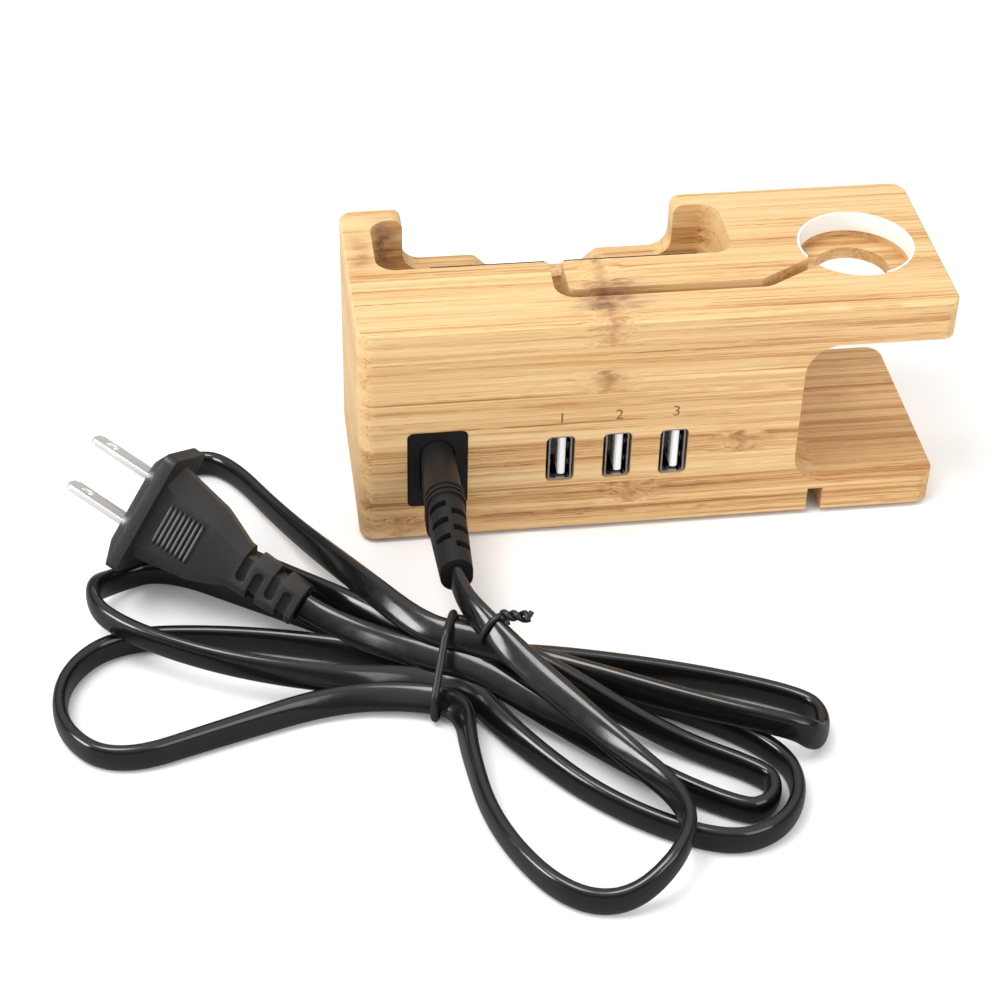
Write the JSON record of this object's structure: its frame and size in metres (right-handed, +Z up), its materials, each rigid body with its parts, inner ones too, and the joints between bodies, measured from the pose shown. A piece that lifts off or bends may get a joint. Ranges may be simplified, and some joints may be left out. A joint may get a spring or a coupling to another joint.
{
  "type": "charging station organizer",
  "caption": "Bamboo block charging organizer: phone pocket, watch arm with split ring, cable groove, USB sockets in its front and a detachable mains lead in a tied hank.",
  "frame": {"origin": "centre of the station's bounding box at the underside of its feet, the mains lead left out", "axes": "+X along the block's length towards the watch arm, -Y out of the face with the USB sockets, +Z up"},
  "size_m": [0.2197, 0.1833, 0.0618],
  "materials": {
    "bamboo": "laminated bamboo, clear satin oil",
    "cover": "matt black moulded ABS",
    "foot": "matt black rubber",
    "ring": "glossy white ABS",
    "felt": "black felt",
    "inlet": "fine black texture",
    "black_pvc": "glossy black soft PVC",
    "relief": "satin black moulded PVC",
    "tie": "black coated wire",
    "nickel": "bright nickel plate",
    "steel": "zinc plated steel",
    "shell": "nickel plated shell",
    "tongue": "white moulded nylon",
    "gold": "flash gold plate",
    "board": "green solder mask",
    "ferrite": "dark ferrite",
    "winding": "yellow winding tape",
    "capacitor": "dark sleeve with aluminium top",
    "component": "black epoxy",
    "wire": "black insulated wire"
  },
  "bodies": {
    "station": {"bamboo_body": "bamboo", "bottom_cover": "cover", "cover_screws": "steel", "foot_1": "foot", "foot_2": "foot", "foot_3": "foot", "foot_4": "foot", "watch_ring": "ring", "back_pad_left": "felt", "back_pad_right": "felt", "inlet_housing": "inlet", "inlet_pins": "nickel", "circuit_board": "board", "board_screws": "steel", "usb_shell_1": "shell", "usb_tongue_1": "tongue", "usb_contacts_1": "gold", "usb_shell_2": "shell", "usb_tongue_2": "tongue", "usb_contacts_2": "gold", "usb_shell_3": "shell", "usb_tongue_3": "tongue", "usb_contacts_3": "gold", "fuse": "component", "bulk_capacitors": "capacitor", "output_capacitors": "capacitor", "control_chip": "component", "rectifier": "component", "transformer_core": "ferrite", "transformer_winding": "winding", "mains_wires": "wire"},
    "lead": {"lead_connector": "relief", "contact_sleeves": "gold", "lead_cord": "black_pvc", "lead_hank": "black_pvc", "lead_tail": "black_pvc", "twist_tie": "tie", "plug_body": "relief", "plug_blades": "nickel"}
  },
  "joints": [
    {"name": "lead_pull", "type": "slide", "parent": "station", "child": "lead", "axis": [0, -1, 0], "range_m": [0, 0.012]}
  ]
}
